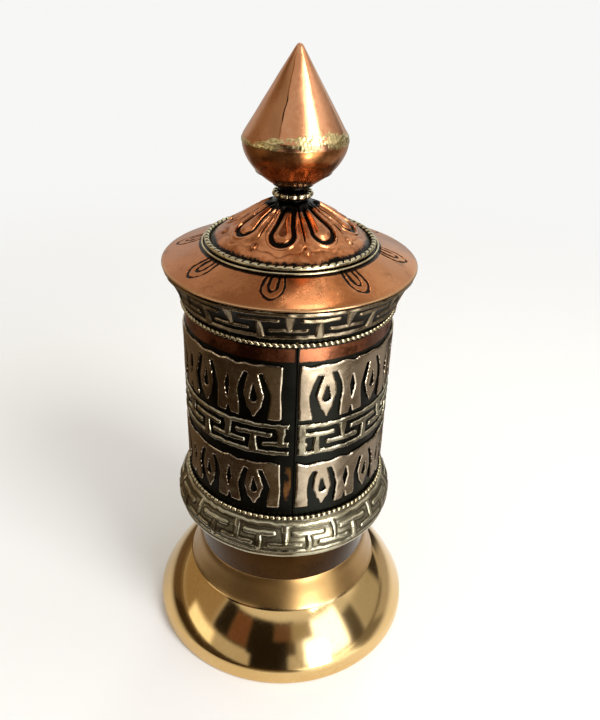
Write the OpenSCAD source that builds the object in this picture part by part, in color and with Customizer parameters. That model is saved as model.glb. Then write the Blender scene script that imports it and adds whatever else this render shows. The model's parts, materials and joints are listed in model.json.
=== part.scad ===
// Table-top prayer wheel: a spun brass foot, a copper drum that turns on a fixed spindle,
// and a copper roof with a finial that lifts off the drum to reach the paper roll.
// Millimetres, +Z up, origin at the centre of the foot's underside.
// Angles round the drum are azimuths: 0 faces -Y, and they grow towards +X.

/* [Foot] */
// Radius of the rim that the wheel stands on
foot_r = 37.4; // [36:0.1:40]
// Height of the flared foot, up to the plain neck
foot_h = 26.3; // [25:0.1:28]
// Height of the upright rim band
rim_h = 3.6; // [2:0.1:5]
// Radius of the plain neck
neck_r = 24.45; // [23:0.05:24.6]
// Height of the top of the neck above the table
neck_top_z = 41; // [40:0.1:42]
// Thickness of the spun brass sheet
brass_t = 0.9; // [0.6:0.1:1.2]

/* [Spindle] */
// Radius of the fixed steel spindle
spindle_r = 2.5; // [2:0.1:3]
// Radial running clearance between the spindle and its bushes
running_gap = 0.05; // [0.02:0.01:0.09]
// Radius of the washers on the spindle
washer_r = 5.5; // [5:0.1:6]
// Width across the corners of the spindle nuts
nut_corner_w = 9.2; // [8.5:0.1:10]

/* [Drum] */
// Outer radius of the copper drum sheet
drum_r = 26.4; // [26:0.1:26.6]
// Thickness of the copper drum sheet
drum_t = 0.6; // [0.4:0.05:0.7]
// Azimuth of the butt seam of the drum sheet
seam_az = 6; // [0:1:12]
// How far the ornament plates stand proud of the drum sheet
plate_t = 0.6; // [0.4:0.05:0.8]
// Motifs round each ornament plate
cells = 12; // [10:1:14]
// Pairs of T keys round the middle fret band
band_pairs = 12; // [10:1:14]
// Pairs of T keys round the skirt
skirt_pairs = 14; // [12:1:16]
// Pairs of T keys round the cornice
cornice_pairs = 13; // [12:1:15]

/* [Lid] */
// Radius of the roof's eaves
eaves_r = 31.4; // [31.2:0.1:32]
// Thickness of the copper sheet of the roof and the crown
roof_t = 0.7; // [0.5:0.05:0.8]
// Radial gap between the lid's collar and the drum sheet
lid_gap = 0.08; // [0.03:0.01:0.1]
// Largest radius of the finial
finial_r = 12.3; // [11:0.1:13]
// Height of the finial's tip above the table
tip_z = 160; // [156:0.5:164]

/* [Hidden] */
$fn = 96;

// Heights of the parts stacked on the spindle, from the neck's top disc upwards
face_gap = 0.2;
washer_t = 1;
nut_h = 4;
neck_disc_t = 1.2;
neck_under_z = neck_top_z - neck_disc_t;
thrust_z = neck_top_z + nut_h;
bush_flange_z = thrust_z + washer_t + face_gap;
bush_flange_t = 1;
disc_z = bush_flange_z + bush_flange_t;
disc_t = 1;
core_z = disc_z + disc_t;
core_h = 44;
core_r = 4.8;
bush_r = 4;
bush_barrel_h = 5;
core_top_z = core_z + core_h;
retain_z = core_top_z + bush_flange_t + face_gap;
spindle_bottom_z = neck_under_z - washer_t - nut_h - 1.3;
spindle_top_z = retain_z + washer_t + nut_h + 1;

// Bands round the drum, by height
shell_top_z = 106;
bead_r = 0.65;
bead_ring_r = drum_r + bead_r;
lower_bead_z = 50.6;
upper_bead_z = 100.4;
lower_plate_z = [53.7, 67.7];
band_z = [69.9, 79];
upper_plate_z = [80.1, 95.2];
plate_r = drum_r + plate_t;
seam_w = 0.3;
plate_seam_gap = 4;
band_rail_h = 1.2;

// Skirt: height range, and its radius by height, from the lip up to the drum
skirt_z = [39.75, 49.9];
skirt_line = [
  [39.75, 29.2], [41.3, 29.7], [43, 29.9], [45, 29.6], [47, 28.8], [48.9, 27.6], [49.9, 26.9]
];
strip_steps = 3;

// Cornice: height range, and the radius at each end
cornice_z = [101.6, 110.4];
cornice_r = [27, 30.9];
flare_t = 0.6;
flare_relief = 0.35;

// Lid
lid_z = cornice_z[1] + face_gap;
eave_h = 0.45;
roof_slope = 0.385;
roof_hole_r = 18.5;
crown_r = 19.4;
crown_top_r = 3.7;
crown_top_z = 125.9;
stem_r = 1.6;
stem_head_r = 3.5;
stem_head_t = 1;
neck_h = 3.3;
bowl_z = crown_top_z + neck_h;
finial_seam_z = 139.5;
finial_t = 0.8;
cone_foot_h = 1.2;
tip_r = 0.85;
tip_h = 0.5;
braze_t = 0.15;
braze_h = 3;

// Points of a round arc of radius r about [x, z]
function arc(x, z, r, from, to, steps) =
  [for (i = [0:steps]) let (a = from + (to - from) * i / steps) [x + r * cos(a), z + r * sin(a)]];

// The same outline moved by dr and dz, walked backwards, to close a sheet of even thickness
function back_face(outline, dr, dz) =
  [for (i = [len(outline) - 1:-1:0]) outline[i] + [dr, dz]];

// Radius of a flare at height z: the curve is steep by the drum and opens towards the free end
function flare_radius(z, z_drum, z_free, r_drum, r_free) =
  r_drum + (r_free - r_drum) * pow(abs(z - z_drum) / abs(z_free - z_drum), 1.5);
function skirt_radius(z) = lookup(z, skirt_line);
function cornice_radius(z) = flare_radius(z, cornice_z[0], cornice_z[1], cornice_r[0], cornice_r[1]);

// Height of the roof's upper face at radius r
function roof_height(r) = lid_z + eave_h + roof_slope * (eaves_r - r);

// Height of the crown's upper face at radius r: a low dome that sweeps up to the neck
function crown_height(r) =
  let (t = (crown_r - r) / (crown_r - crown_top_r), foot_z = roof_height(crown_r) + 0.1)
  foot_z + (crown_top_z - foot_z) * (1.32 * t - 0.46 * t * t + 0.14 * t * t * t);

module ring(r_out, r_in, z0, z1) {
  translate([0, 0, z0])
    difference() {
      cylinder(r = r_out, h = z1 - z0);
      translate([0, 0, -1])
        cylinder(r = r_in, h = z1 - z0 + 2);
    }
}

module hex_nut(corner_w, bore_r, z0, h) {
  translate([0, 0, z0])
    difference() {
      cylinder(r = corner_w / 2, h = h, $fn = 6);
      translate([0, 0, -1])
        cylinder(r = bore_r, h = h + 2);
    }
}

module wire_ring(r, z, wire_r) {
  rotate_extrude()
    translate([r, z])
      circle(r = wire_r, $fn = 24);
}

// Part of a ring between two azimuths
module sector(r_in, r_out, z0, z1, az0, az1) {
  rotate([0, 0, az0 - 90])
    rotate_extrude(angle = az1 - az0)
      translate([r_in, z0])
        square([r_out - r_in, z1 - z0]);
}

// Raised strip on the skirt or the cornice between two azimuths and two heights
module skirt_strip(z0, z1, az0, az1, relief) {
  line = [for (i = [0:strip_steps])
    let (z = z0 + (z1 - z0) * i / strip_steps) [skirt_radius(z) + relief, z]];
  rotate([0, 0, az0 - 90])
    rotate_extrude(angle = az1 - az0)
      polygon(concat(line, back_face(line, -1.4 * relief, 0)));
}

module cornice_strip(z0, z1, az0, az1) {
  rotate([0, 0, az0 - 90])
    rotate_extrude(angle = az1 - az0)
      polygon([
        [cornice_radius(z0) - 0.1, z0], [cornice_radius(z0) + flare_relief, z0],
        [cornice_radius(z1) + flare_relief, z1], [cornice_radius(z1) - 0.1, z1]
      ]);
}

// ---- base ----

foot_crease = [27.4, 17.6];
rim_round = 1.4;

module foot() {
  outline = concat(
    [[foot_r - 0.5, 0], [foot_r, 0.5]],
    arc(foot_r - rim_round, rim_h, rim_round, 0, 42, 5),
    [for (t = [0.25, 0.5, 0.75])
      [foot_r - 0.5, rim_h + 1] * (1 - t) + foot_crease * t + [0.6, 0.45] * 4 * t * (1 - t)],
    [foot_crease, [25.7, 22], [neck_r, foot_h]]
  );
  inner = [
    [neck_r - 5, foot_h], [neck_r - 5, foot_h - brass_t], [neck_r - brass_t, foot_h - brass_t],
    [foot_crease[0] - 1.1, foot_crease[1]], [foot_r - 2.6, rim_h], [foot_r - 2.2, 0]
  ];
  color("goldenrod")
    rotate_extrude()
      polygon(concat(outline, inner));
}

module neck_cup() {
  color("darkgoldenrod")
    difference() {
      translate([0, 0, foot_h])
        cylinder(r = neck_r, h = neck_top_z - foot_h);
      translate([0, 0, foot_h - 1])
        cylinder(r = neck_r - brass_t, h = neck_under_z - foot_h + 1);
      translate([0, 0, neck_under_z - 1])
        cylinder(r = spindle_r, h = neck_disc_t + 2);
    }
}

module spindle() {
  color("silver")
    translate([0, 0, spindle_bottom_z])
      cylinder(r = spindle_r, h = spindle_top_z - spindle_bottom_z);
}

module spindle_lower_washer() {
  color("silver")
    ring(washer_r, spindle_r, neck_under_z - washer_t, neck_under_z);
}

module spindle_lower_nut() {
  color("silver")
    hex_nut(nut_corner_w, spindle_r, neck_under_z - washer_t - nut_h, nut_h);
}

module spindle_shoulder_nut() {
  color("silver")
    hex_nut(nut_corner_w, spindle_r, neck_top_z, nut_h);
}

module thrust_washer() {
  color("gold")
    ring(washer_r, spindle_r, thrust_z, thrust_z + washer_t);
}

module retaining_washer() {
  color("silver")
    ring(washer_r, spindle_r, retain_z, retain_z + washer_t);
}

module retaining_nut() {
  color("silver")
    hex_nut(nut_corner_w, spindle_r, retain_z + washer_t, nut_h);
}

// ---- drum ----

module drum_shell() {
  color("sienna")
    difference() {
      ring(drum_r, drum_r - drum_t, disc_z, shell_top_z);
      rotate([0, 0, seam_az - 90])
        translate([drum_r - drum_t - 1, -seam_w / 2, disc_z - 1])
          cube([drum_t + 2, seam_w, upper_bead_z - disc_z + 1]);
    }
}

strip_span = 7;
strip_t = 0.5;

module seam_strip() {
  color("peru")
    sector(drum_r - drum_t - strip_t, drum_r - drum_t, core_z, upper_bead_z - 2,
      seam_az - strip_span, seam_az + strip_span);
}

module bottom_disc() {
  color("sienna")
    ring(drum_r - drum_t, bush_r, disc_z, core_z);
}

module lower_bush() {
  color("gold")
    difference() {
      union() {
        ring(washer_r, spindle_r, bush_flange_z, disc_z);
        ring(bush_r, spindle_r, disc_z, core_z + bush_barrel_h);
      }
      translate([0, 0, bush_flange_z - 1])
        cylinder(r = spindle_r + running_gap, h = bush_barrel_h + 4);
    }
}

module upper_bush() {
  color("gold")
    difference() {
      union() {
        ring(washer_r, spindle_r, core_top_z, core_top_z + bush_flange_t);
        ring(bush_r, spindle_r, core_top_z - bush_barrel_h, core_top_z);
      }
      translate([0, 0, core_top_z - bush_barrel_h - 1])
        cylinder(r = spindle_r + running_gap, h = bush_barrel_h + 4);
    }
}

module core_tube() {
  color("peru")
    ring(core_r, bush_r, core_z, core_top_z);
}

roll_r = 23.4;
roll_h = 42;
tie_h = 6;
tie_t = 0.5;

module mantra_roll() {
  color("wheat")
    ring(roll_r, core_r, core_z, core_z + roll_h);
}

module roll_tie() {
  color("firebrick")
    ring(roll_r + tie_t, roll_r, core_z + roll_h / 2 - tie_h / 2, core_z + roll_h / 2 + tie_h / 2);
}

module lower_bead_ring() {
  color("silver")
    wire_ring(bead_ring_r, lower_bead_z, bead_r);
}

module upper_bead_ring() {
  color("silver")
    wire_ring(bead_ring_r, upper_bead_z, bead_r);
}

// Window cut through a plate between two azimuths and two heights
module window(z0, z1, az0, az1) {
  sector(drum_r - 2, plate_r + 2, z0, z1, az0, az1);
}

// Windows of one motif, as shares of its width and height: [left, right, bottom, top]
motif_windows = [
  [0.29, 0.36, 0.12, 0.8], [0.34, 0.6, 0.6, 0.7], [0.44, 0.58, 0.14, 0.42],
  [0.66, 0.72, 0.3, 0.82], [0.76, 0.86, 0.45, 0.62], [0.93, 0.98, -0.1, 0.8]
];

module ornament(z0, z1) {
  span = 360 - 2 * plate_seam_gap;
  w = span / cells;
  h = z1 - z0;
  start = seam_az + plate_seam_gap;
  difference() {
    sector(drum_r, plate_r, z0, z1, start, start + span);
    for (i = [0:cells - 1])
      for (m = motif_windows)
        window(z0 + m[2] * h, z0 + m[3] * h, start + (i + m[0]) * w, start + (i + m[1]) * w);
  }
}

module lower_ornament() {
  color("silver")
    ornament(lower_plate_z[0], lower_plate_z[1]);
}

module upper_ornament() {
  color("silver")
    ornament(upper_plate_z[0], upper_plate_z[1]);
}

// Windows left open between two interlocked T keys, as shares of one pair's width and of
// the height between the rails. One T stands on the lower rail, its neighbour hangs.
fret_windows = [
  [0.03, 0.73, 0.79, 0.97], [0.63, 0.71, 0.38, 0.9], [0.34, 0.69, 0.4, 0.6],
  [0.31, 0.97, 0.03, 0.21], [0.32, 0.41, 0.1, 0.5], [0.83, 0.95, 0.45, 0.7]
];

module middle_fret_band() {
  span = 360 - 2 * plate_seam_gap;
  pitch = span / band_pairs;
  start = seam_az + plate_seam_gap;
  low = band_z[0] + band_rail_h;
  h = band_z[1] - band_rail_h - low;
  color("silver")
    difference() {
      sector(drum_r, plate_r, band_z[0], band_z[1], start, start + span);
      for (i = [0:band_pairs - 1])
        for (m = fret_windows)
          window(low + m[2] * h, low + m[3] * h, start + (i + m[0]) * pitch, start + (i + m[1]) * pitch);
    }
}

flare_steps = 8;

module skirt() {
  line = [for (i = [0:flare_steps])
    let (z = skirt_z[0] + 0.6 + (skirt_z[1] - skirt_z[0] - 0.6) * i / flare_steps) [skirt_radius(z), z]];
  lip_r = skirt_radius(skirt_z[0]);
  pitch = 360 / skirt_pairs;
  bar_az = 0.36 * pitch;
  color("silver")
    union() {
      rotate_extrude()
        polygon(concat(
          [[lip_r - flare_t, skirt_z[0]], [lip_r + 0.2, skirt_z[0]]],
          [[lip_r + 0.3, skirt_z[0] + 0.5]],
          line,
          [[drum_r, skirt_z[1]], [drum_r, skirt_z[1] - 2]],
          [for (i = [6:-1:0]) line[i] - [flare_t, 0]]
        ));
      skirt_strip(41.3, 42.6, 0, 360, flare_relief);
      skirt_strip(48.2, 49.4, 0, 360, flare_relief);
      for (i = [0:skirt_pairs - 1]) {
        stand_az = -11.2 + i * pitch;
        hang_az = 2.4 + i * pitch;
        skirt_strip(42.1, 46.6, stand_az - 1, stand_az + 1, flare_relief - 0.02);
        skirt_strip(46, 47.2, stand_az - bar_az, stand_az + bar_az, flare_relief - 0.01);
        skirt_strip(44, 48.8, hang_az - 1, hang_az + 1, flare_relief - 0.03);
        skirt_strip(43.4, 44.6, hang_az - bar_az, hang_az + bar_az, flare_relief - 0.04);
      }
    }
}

module cornice() {
  line = [for (i = [0:flare_steps])
    let (z = cornice_z[0] + (cornice_z[1] - cornice_z[0]) * i / flare_steps) [cornice_radius(z), z]];
  pitch = 360 / cornice_pairs;
  color("silver")
    union() {
      rotate_extrude()
        polygon(concat(
          [[drum_r, cornice_z[0]]],
          line,
          [for (i = [flare_steps:-1:2]) line[i] - [flare_t, 0]],
          [[drum_r, cornice_z[0] + 1.5]]
        ));
      cornice_strip(102, 103.1, 0, 360);
      cornice_strip(109, 110.2, 0, 360);
      for (i = [0:cornice_pairs - 1]) {
        stand_az = -12 + i * pitch;
        hang_az = 1.8 + i * pitch;
        cornice_strip(102.6, 107.4, stand_az - 1, stand_az + 1);
        cornice_strip(106.8, 107.9, stand_az - 0.36 * pitch, stand_az + 0.36 * pitch);
        cornice_strip(104.8, 109.6, hang_az - 1, hang_az + 1);
        cornice_strip(104.2, 105.3, hang_az - 0.36 * pitch, hang_az + 0.36 * pitch);
      }
    }
}

// ---- lid ----

module roof() {
  color("chocolate")
    rotate_extrude()
      polygon([
        [eaves_r - 1, lid_z], [eaves_r, lid_z], [eaves_r, lid_z + eave_h],
        [roof_hole_r, roof_height(roof_hole_r)], [roof_hole_r, roof_height(roof_hole_r) - roof_t],
        [eaves_r - 1, roof_height(eaves_r - 1) - roof_t]
      ]);
}

collar_t = 0.6;
collar_bottom_z = 99;

module lid_collar() {
  outer_r = drum_r - drum_t - lid_gap;
  inner_r = outer_r - collar_t;
  color("darkgoldenrod")
    rotate_extrude()
      polygon([
        [inner_r, collar_bottom_z], [outer_r, collar_bottom_z],
        [outer_r, roof_height(outer_r) - roof_t - 0.02], [inner_r, roof_height(inner_r) - roof_t - 0.02]
      ]);
}

module roof_wire_ring() {
  color("gold")
    wire_ring(21.4, roof_height(21.4) + 0.36, 0.3);
}

module roof_rope_ring() {
  color("silver")
    wire_ring(20.25, roof_height(20.25) + 0.75, 0.66);
}

crown_steps = 16;
crown_edge_t = 0.5;

module crown() {
  outline = [for (i = [0:crown_steps])
    let (r = crown_r - (crown_r - crown_top_r) * i / crown_steps) [r, crown_height(r)]];
  color("chocolate")
    rotate_extrude()
      polygon(concat(
        outline,
        [[stem_r, crown_top_z], [stem_r, crown_top_z - roof_t - 0.1]],
        [for (i = [crown_steps:-1:2]) outline[i] - [0.2, roof_t + 0.1]],
        [[crown_r - crown_edge_t, roof_height(crown_r - crown_edge_t) + 0.1]]
      ));
}

module stem_washer() {
  color("silver")
    ring(3.4, stem_r, crown_top_z - roof_t - 0.9, crown_top_z - roof_t - 0.1);
}

module stem_nut() {
  color("silver")
    hex_nut(6, stem_r, crown_top_z - roof_t - 3.4, 2.5);
}

module finial_stem() {
  bottom_z = crown_top_z - roof_t - 4.4;
  color("silver")
    union() {
      translate([0, 0, bottom_z])
        cylinder(r = stem_r, h = bowl_z + finial_t + stem_head_t - bottom_z);
      translate([0, 0, bowl_z + finial_t])
        cylinder(r = stem_head_r, h = stem_head_t);
    }
}

module neck_spacer() {
  color("dimgray")
    rotate_extrude()
      polygon([
        [stem_r, crown_top_z], [3.7, crown_top_z], [3.2, crown_top_z + 0.4],
        [3.2, bowl_z - 1.1], [3.9, bowl_z], [stem_r, bowl_z]
      ]);
}

module neck_bead_ring() {
  color("silver")
    wire_ring(4.15, crown_top_z + 1.3, 0.8);
}

bowl_steps = 12;

// The bowl swells from its small flat bottom to the seam
function bowl_radius(t) = 4.7 + (finial_r - 4.7) * pow(sin(90 * t), 0.8);

module finial_bowl() {
  h = finial_seam_z - bowl_z;
  outline = [for (i = [0:bowl_steps])
    let (t = i / bowl_steps) [bowl_radius(t), bowl_z + 0.4 + (h - 0.4) * t]];
  color("chocolate")
    rotate_extrude()
      polygon(concat(
        [[stem_r, bowl_z], [4.6, bowl_z]],
        outline,
        [for (i = [bowl_steps:-1:1]) outline[i] - [finial_t, 0]],
        [[4.6, bowl_z + finial_t], [stem_r, bowl_z + finial_t]]
      ));
}

module finial_cone() {
  color("chocolate")
    rotate_extrude()
      polygon([
        [finial_r - finial_t, finial_seam_z], [finial_r, finial_seam_z],
        [finial_r - 0.25, finial_seam_z + cone_foot_h], [tip_r, tip_z - tip_h],
        [tip_r / 2, tip_z - 0.1], [0, tip_z],
        [0, tip_z - 2.2], [finial_r - 0.25 - finial_t, finial_seam_z + cone_foot_h]
      ]);
}

module braze_band() {
  foot_r1 = finial_r - 0.25;
  foot_z = finial_seam_z + cone_foot_h;
  slope = (foot_r1 - tip_r) / (tip_z - tip_h - foot_z);
  top_z = foot_z + braze_h - cone_foot_h;
  top_r = foot_r1 - slope * (top_z - foot_z);
  color("gold")
    rotate_extrude()
      polygon([
        [finial_r, finial_seam_z - 0.6], [finial_r + braze_t, finial_seam_z - 0.6],
        [finial_r + braze_t, finial_seam_z], [foot_r1 + braze_t, foot_z], [top_r + braze_t, top_z],
        [top_r, top_z], [foot_r1, foot_z], [finial_r, finial_seam_z]
      ]);
}

foot();
neck_cup();
spindle();
spindle_lower_washer();
spindle_lower_nut();
spindle_shoulder_nut();
thrust_washer();
retaining_washer();
retaining_nut();
drum_shell();
seam_strip();
bottom_disc();
lower_bush();
upper_bush();
core_tube();
mantra_roll();
roll_tie();
lower_bead_ring();
lower_ornament();
middle_fret_band();
upper_ornament();
upper_bead_ring();
skirt();
cornice();
roof();
lid_collar();
roof_wire_ring();
roof_rope_ring();
crown();
stem_washer();
stem_nut();
finial_stem();
neck_spacer();
neck_bead_ring();
finial_bowl();
finial_cone();
braze_band();
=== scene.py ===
"""Table-top prayer wheel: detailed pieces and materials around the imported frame."""
import json
import math

import bpy
import numpy as np
from mathutils import Matrix, Vector


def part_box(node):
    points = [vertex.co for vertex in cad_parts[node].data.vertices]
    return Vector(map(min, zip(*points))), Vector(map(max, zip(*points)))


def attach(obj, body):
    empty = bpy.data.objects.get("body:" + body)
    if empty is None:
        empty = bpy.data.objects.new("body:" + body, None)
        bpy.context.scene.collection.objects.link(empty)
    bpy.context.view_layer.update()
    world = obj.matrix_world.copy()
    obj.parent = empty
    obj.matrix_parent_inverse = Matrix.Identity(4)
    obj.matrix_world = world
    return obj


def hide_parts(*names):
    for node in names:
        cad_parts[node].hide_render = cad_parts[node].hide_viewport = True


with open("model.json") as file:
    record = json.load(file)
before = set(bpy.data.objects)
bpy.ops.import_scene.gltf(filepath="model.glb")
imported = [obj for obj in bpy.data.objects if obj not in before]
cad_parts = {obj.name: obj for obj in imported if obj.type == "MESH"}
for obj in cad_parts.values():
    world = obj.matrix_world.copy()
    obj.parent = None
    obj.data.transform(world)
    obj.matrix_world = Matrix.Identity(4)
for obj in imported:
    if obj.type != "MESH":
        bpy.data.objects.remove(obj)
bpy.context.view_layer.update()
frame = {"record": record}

MM = 1000.0  # millimetres in a metre: sizes below are in millimetres
TURN = 2 * math.pi
DEGREE = math.pi / 180

BODY_OF = {n: body for body, nodes in frame["record"]["behaviour"]["bodies"].items() for n in nodes}
LEAN, LEAN_FROM = 0.022, 0.1156  # the finial's sideways lean per metre of height, and where it begins
PALE = (0.93, 0.93, 0.92)  # the floor and the backdrop, seen from afar
SEAM = math.radians(6)  # azimuth of the drum's butt seam; azimuth 0 faces -Y and grows towards +X


def reach(node):
    """Outer radius, bottom and top of a CAD node, in millimetres."""
    low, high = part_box(node)
    return high.x * MM, low.z * MM, high.z * MM


# ---- camera, light and floor ----

def make_camera():
    pitch, roll = math.radians(29.211), math.radians(2.048)
    x, y, z = 0.00339, -0.17297, 0.17857
    cp, sp, cr, sr = math.cos(pitch), math.sin(pitch), math.cos(roll), math.sin(roll)
    lens = bpy.data.cameras.new("camera")
    lens.sensor_fit = "VERTICAL"
    lens.sensor_height = 36
    lens.lens = 37.204
    lens.clip_start = 0.005
    camera = bpy.data.objects.new("camera", lens)
    bpy.context.scene.collection.objects.link(camera)
    camera.matrix_world = Matrix((
        (cr, -sr, 0, x),
        (sr * sp, cr * sp, -cp, y),
        (sr * cp, cr * cp, sp, z),
        (0, 0, 0, 1),
    ))
    bpy.context.scene.camera = camera


make_camera()


# ---- node helpers ----

def feed(tree, node, key, value):
    """Links or sets one input."""
    if isinstance(value, bpy.types.NodeSocket):
        tree.links.new(value, node.inputs[key])
    else:
        node.inputs[key].default_value = value


def add(tree, kind, inputs=None, **settings):
    """A new node with its settings, and its inputs linked or set."""
    node = tree.nodes.new(kind)
    for key, value in settings.items():
        setattr(node, key, value)
    for key, value in (inputs or {}).items():
        feed(tree, node, key, value)
    return node


def maths(tree, operation, a, b=0.0):
    return add(tree, "ShaderNodeMath", {0: a, 1: b}, operation=operation).outputs[0]


def ramp(tree, value, low, high, to_low=0.0, to_high=1.0):
    """value from low to high, smoothly mapped to to_low to to_high."""
    inputs = {"Value": value, "From Min": low, "From Max": high, "To Min": to_low, "To Max": to_high}
    return add(tree, "ShaderNodeMapRange", inputs, interpolation_type="SMOOTHSTEP").outputs["Result"]


def blend(tree, factor, a, b):
    """Colour a to colour b."""
    a, b = ((*colour, 1) if isinstance(colour, tuple) else colour for colour in (a, b))
    return add(tree, "ShaderNodeMix", {0: factor, 6: a, 7: b}, data_type="RGBA").outputs[2]


def directions(tree, vector):
    """Azimuth, and the separate coordinates, of a vector."""
    parts = add(tree, "ShaderNodeSeparateXYZ", {0: vector}).outputs
    return maths(tree, "ARCTAN2", parts[0], maths(tree, "MULTIPLY", parts[1], -1.0)), parts


def cards(tree, colour, rows):
    """Colour with soft-edged patches over it: (value, low, high, softness) ranges in degrees, then a tone."""
    for *ranges, tone in rows:
        mask = 1.0
        for value, low, high, soft in ranges:
            rise = ramp(tree, value, (low - soft) * DEGREE, (low + soft) * DEGREE)
            fall = ramp(tree, value, (high - soft) * DEGREE, (high + soft) * DEGREE, 1, 0)
            mask = maths(tree, "MULTIPLY", mask, maths(tree, "MULTIPLY", rise, fall))
        colour = blend(tree, mask, colour, tone)
    return colour


def make_world():
    """A soft studio: bright above, dimmer low down, with dark flags and bright panels to reflect."""
    world = bpy.data.worlds.new("studio")
    bpy.context.scene.world = world
    world.use_nodes = True
    tree = world.node_tree
    tree.nodes.clear()
    azimuth, parts = directions(tree, add(tree, "ShaderNodeTexCoord").outputs["Generated"])
    height = maths(tree, "ARCSINE", parts[2])
    colour = blend(tree, ramp(tree, height, 0, 50 * DEGREE), (0.62, 0.58, 0.53), (0.88, 0.86, 0.83))
    # azimuth range, height range, softness (degrees), colour
    panels = [
        (-178, -118, 43, 82, 6, (0.44, 0.41, 0.37)),
        (-166, -130, 12, 43, 6, (0.78, 0.78, 0.74)),
        (138, 174, 5, 43, 7, (1.05, 1.15, 1.1)),
        (120, 178, 47, 80, 6, (0.66, 0.62, 0.54)),
        (-132, -62, 0, 41, 5, (0.38, 0.28, 0.17)),
        (-86, -57, -12, 10, 3, (1.7, 1.6, 1.4)),
        (-60, 15, 11, 37, 2, (0.10, 0.072, 0.046)),
        (-61, -46, 13, 37, 2, (0.020, 0.016, 0.012)),
        (-45, -28, 13, 35, 2, (0.19, 0.09, 0.055)),
        (-27, -5, 9, 37, 2, (0.022, 0.017, 0.012)),
        (-4, 13, 22, 35, 2, (0.17, 0.095, 0.065)),
        (-23, 8, -6, 22, 2, (0.020, 0.015, 0.011)),
        (22, 61, 2, 34, 3, (3.1, 3.3, 3.9)),
        (12, 32, 21, 36, 3, (0.42, 0.36, 0.27)),
        (63, 77, -4, 24, 3, (0.11, 0.095, 0.075)),
        (79, 112, -6, 26, 4, (0.50, 0.47, 0.41)),
        (81, 110, 28, 52, 9, (1.7, 1.65, 1.6)),
        (112, 142, -8, 14, 4, (0.05, 0.043, 0.036)),
    ]
    rows = [((azimuth, az0, az1, soft), (height, up0, up1, soft), tone)
            for az0, az1, up0, up1, soft, tone in panels]
    colour = cards(tree, colour, rows)
    seen = add(tree, "ShaderNodeLightPath").outputs["Is Camera Ray"]
    colour = blend(tree, seen, colour, PALE)
    back = add(tree, "ShaderNodeBackground", {"Color": colour, "Strength": 1.0})
    add(tree, "ShaderNodeOutputWorld", {"Surface": back.outputs[0]})


def area_light(name, place, target, size, watts, colour=(1, 1, 1)):
    light = bpy.data.lights.new(name, "AREA")
    light.shape = "RECTANGLE"
    light.size, light.size_y = size
    light.energy = watts
    light.color = colour
    lamp = bpy.data.objects.new(name, light)
    bpy.context.scene.collection.objects.link(lamp)
    place, target = np.array(place, float), np.array(target, float)
    back = place - target
    lamp.location = place
    lamp.rotation_euler = Vector(back).to_track_quat("Z", "Y").to_euler()
    lamp.visible_camera = False


def make_floor():
    """A pale floor that runs into the backdrop. From just outside the foot, glossy rays see it glow with
    darker
    and brighter patches instead: painted reflections in the polished metal, which the camera does not see."""
    mesh = bpy.data.meshes.new("floor")
    half = 3.0
    mesh.from_pydata([(-half, -half, 0), (half, -half, 0), (half, half, 0), (-half, half, 0)],
                     [], [(0, 1, 2, 3)])
    floor = bpy.data.objects.new("floor", mesh)
    bpy.context.scene.collection.objects.link(floor)
    material = bpy.data.materials.new("pale_floor")
    material.use_nodes = True
    tree = material.node_tree
    shader = tree.nodes["Principled BSDF"]
    shader.inputs["Base Color"].default_value = (0.92, 0.915, 0.90, 1)
    shader.inputs["Roughness"].default_value = 0.6
    here = add(tree, "ShaderNodeTexCoord").outputs["Object"]
    azimuth, _ = directions(tree, here)
    away = add(tree, "ShaderNodeVectorMath", {0: here}, operation="LENGTH").outputs["Value"]
    # painted reflections: dark and bright tones by azimuth that glossy rays see on the floor, nearer the foot
    # (middle) and farther out (outer)
    middle = [((azimuth, -150, -88, 7), (0.15, 0.10, 0.055)),
              ((azimuth, -92, 12, 5), (0.055, 0.034, 0.016)),
              ((azimuth, -22, 12, 8), (0.15, 0.11, 0.06)),
              ((azimuth, 15, 54, 4), (1.75, 1.8, 1.8)),
              ((azimuth, 60, 82, 4), (0.24, 0.21, 0.17)),
              ((azimuth, 128, 164, 5), (0.05, 0.042, 0.035))]
    outer = [((azimuth, -135, -60, 5), (0.22, 0.16, 0.09)),
             ((azimuth, -60, 10, 5), (0.07, 0.05, 0.033)),
             ((azimuth, 13, 60, 5), (2.8, 2.7, 2.5)),
             ((azimuth, 63, 112, 5), (0.20, 0.17, 0.13))]
    plain = (0.52, 0.48, 0.43)
    # metres from the axis over which each change happens
    outer_from, faded_from, mirrored_from = (0.21, 0.27), (0.12, 0.5), (0.052, 0.08)
    colour = blend(tree, ramp(tree, away, *outer_from), cards(tree, plain, middle), cards(tree, plain, outer))
    painted_reflection = add(tree, "ShaderNodeEmission", {"Color": colour})
    faded = add(tree, "ShaderNodeEmission", {"Color": (*PALE, 1)})
    ray = add(tree, "ShaderNodeLightPath").outputs
    far = maths(tree, "MULTIPLY", ray["Is Camera Ray"], ramp(tree, away, *faded_from))
    low = maths(tree, "MULTIPLY", ray["Is Glossy Ray"], ramp(tree, away, *mirrored_from))
    body = add(tree, "ShaderNodeMixShader", {0: far, 1: shader.outputs[0], 2: faded.outputs[0]})
    body = add(tree, "ShaderNodeMixShader", {0: low, 1: body.outputs[0], 2: painted_reflection.outputs[0]})
    tree.links.new(body.outputs[0], tree.nodes["Material Output"].inputs["Surface"])
    mesh.materials.append(material)


make_world()
make_floor()
area_light("key", (0.34, -0.30, 0.52), (0, 0, 0.09), (0.22, 0.22), 2.0, (1, 0.98, 0.95))
area_light("overhead", (0.077, 0.394, 0.861), (0, 0, 0.1), (0.09, 0.09), 0.50)
area_light("low_front", (0.115, -0.19, 0.018), (0.02, -0.02, 0.075), (0.06, 0.10), 0.24, (0.98, 0.99, 1.0))


# ---- meshes ----

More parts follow.
